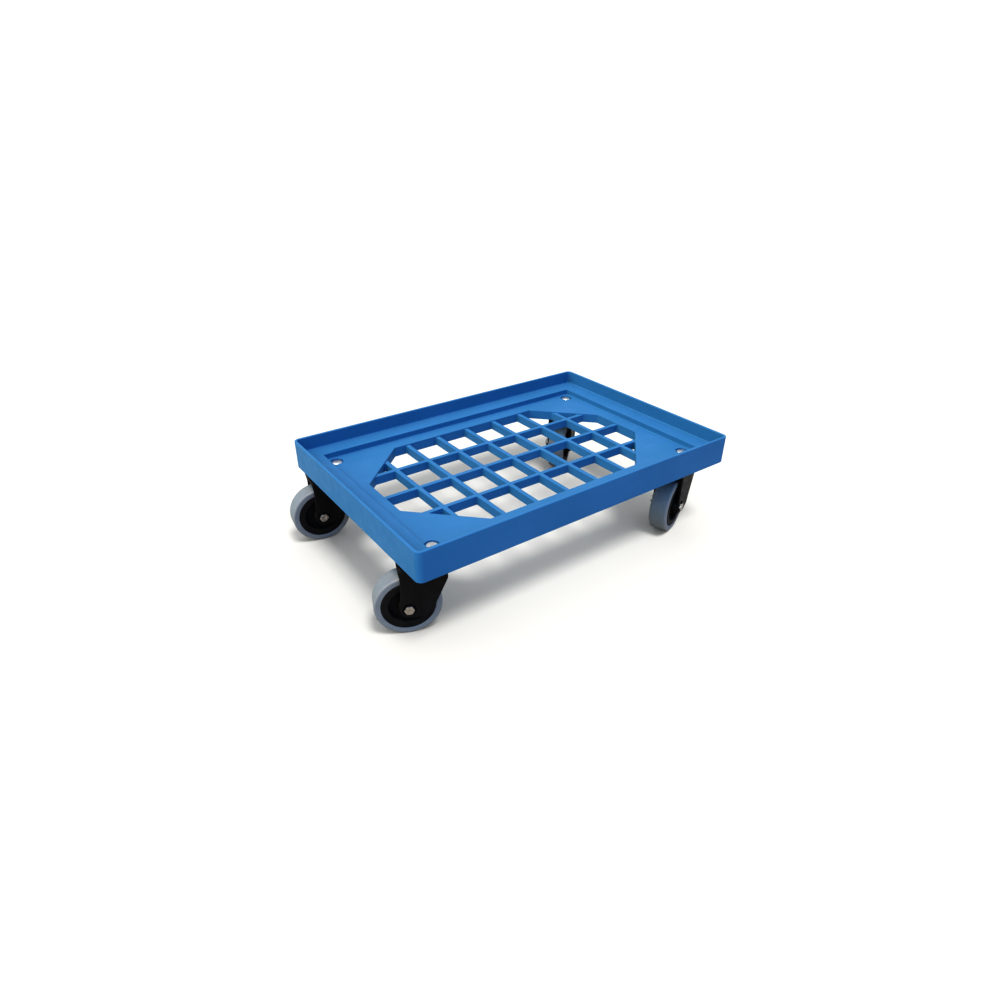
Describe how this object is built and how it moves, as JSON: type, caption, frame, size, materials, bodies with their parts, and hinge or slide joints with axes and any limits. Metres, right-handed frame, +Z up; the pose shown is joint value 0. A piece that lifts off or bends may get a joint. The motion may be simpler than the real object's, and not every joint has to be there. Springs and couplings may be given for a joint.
{
  "type": "platform trolley",
  "caption": "Moulded plastic tray dolly for stacking crates, with a raised rim, a crate ledge and an open rib grid, on black swivel casters with grey tyres.",
  "frame": {"origin": "the top face of the middle rib crossing, at the centre of the tray in plan", "axes": "+X along the tray's long side, towards the front_right and rear_right casters; +Y along its short side, from the front long wall to the rear one; +Z up"},
  "size_m": [0.6458, 0.41, 0.168],
  "materials": {
    "tray_plastic": "satin blue polypropylene, fine moulded grain",
    "tyre_rubber": "matt blue-grey rubber",
    "rim_plastic": "satin black nylon",
    "fork_plastic": "satin black glass-filled nylon",
    "zinc_steel": "bright zinc plate",
    "bearing_steel": "ground steel, greased",
    "bushing_plastic": "natural acetal"
  },
  "bodies": {
    "deck": {"tray": "tray_plastic", "kingpin_bolt_front_left": "zinc_steel", "top_race_front_left": "zinc_steel", "lower_race_front_left": "zinc_steel", "kingpin_washer_front_left": "zinc_steel", "kingpin_nut_front_left": "zinc_steel", "kingpin_bolt_front_right": "zinc_steel", "top_race_front_right": "zinc_steel", "lower_race_front_right": "zinc_steel", "kingpin_washer_front_right": "zinc_steel", "kingpin_nut_front_right": "zinc_steel", "kingpin_bolt_rear_left": "zinc_steel", "top_race_rear_left": "zinc_steel", "lower_race_rear_left": "zinc_steel", "kingpin_washer_rear_left": "zinc_steel", "kingpin_nut_rear_left": "zinc_steel", "kingpin_bolt_rear_right": "zinc_steel", "top_race_rear_right": "zinc_steel", "lower_race_rear_right": "zinc_steel", "kingpin_washer_rear_right": "zinc_steel", "kingpin_nut_rear_right": "zinc_steel"},
    "caster_front_left": {"top_balls_front_left": "bearing_steel", "lower_balls_front_left": "bearing_steel", "fork_front_left": "fork_plastic", "axle_bolt_front_left": "zinc_steel", "axle_nut_front_left": "zinc_steel", "axle_sleeve_front_left": "zinc_steel"},
    "wheel_front_left": {"hub_bushing_front_left": "bushing_plastic", "wheel_rim_front_left": "rim_plastic", "tyre_front_left": "tyre_rubber"},
    "caster_front_right": {"top_balls_front_right": "bearing_steel", "lower_balls_front_right": "bearing_steel", "fork_front_right": "fork_plastic", "axle_bolt_front_right": "zinc_steel", "axle_nut_front_right": "zinc_steel", "axle_sleeve_front_right": "zinc_steel"},
    "wheel_front_right": {"hub_bushing_front_right": "bushing_plastic", "wheel_rim_front_right": "rim_plastic", "tyre_front_right": "tyre_rubber"},
    "caster_rear_left": {"top_balls_rear_left": "bearing_steel", "lower_balls_rear_left": "bearing_steel", "fork_rear_left": "fork_plastic", "axle_bolt_rear_left": "zinc_steel", "axle_nut_rear_left": "zinc_steel", "axle_sleeve_rear_left": "zinc_steel"},
    "wheel_rear_left": {"hub_bushing_rear_left": "bushing_plastic", "wheel_rim_rear_left": "rim_plastic", "tyre_rear_left": "tyre_rubber"},
    "caster_rear_right": {"top_balls_rear_right": "bearing_steel", "lower_balls_rear_right": "bearing_steel", "fork_rear_right": "fork_plastic", "axle_bolt_rear_right": "zinc_steel", "axle_nut_rear_right": "zinc_steel", "axle_sleeve_rear_right": "zinc_steel"},
    "wheel_rear_right": {"hub_bushing_rear_right": "bushing_plastic", "wheel_rim_rear_right": "rim_plastic", "tyre_rear_right": "tyre_rubber"}
  },
  "joints": [
    {"name": "swivel_front_left", "type": "hinge", "parent": "deck", "child": "caster_front_left", "pos_m": [-0.2536, -0.1533, 0], "axis": [0, 0, 1], "continuous": true},
    {"name": "wheel_spin_front_left", "type": "hinge", "parent": "caster_front_left", "child": "wheel_front_left", "pos_m": [-0.2891, -0.13867, -0.0842], "axis": [-0.3811, -0.9245, 0], "continuous": true},
    {"name": "swivel_front_right", "type": "hinge", "parent": "deck", "child": "caster_front_right", "pos_m": [0.2536, -0.1533, 0], "axis": [0, 0, 1], "continuous": true},
    {"name": "wheel_spin_front_right", "type": "hinge", "parent": "caster_front_right", "child": "wheel_front_right", "pos_m": [0.21763, -0.16675, -0.0842], "axis": [0.3502, -0.9367, 0], "continuous": true},
    {"name": "swivel_rear_left", "type": "hinge", "parent": "deck", "child": "caster_rear_left", "pos_m": [-0.2536, 0.1533, 0], "axis": [0, 0, 1], "continuous": true},
    {"name": "wheel_spin_rear_left", "type": "hinge", "parent": "caster_rear_left", "child": "wheel_rear_left", "pos_m": [-0.29158, 0.15898, -0.0842], "axis": [-0.1478, -0.989, 0], "continuous": true},
    {"name": "swivel_rear_right", "type": "hinge", "parent": "deck", "child": "caster_rear_right", "pos_m": [0.2536, 0.1533, 0], "axis": [0, 0, 1], "continuous": true},
    {"name": "wheel_spin_rear_right", "type": "hinge", "parent": "caster_rear_right", "child": "wheel_rear_right", "pos_m": [0.22293, 0.13019, -0.0842], "axis": [0.6018, -0.7986, 0], "continuous": true}
  ]
}
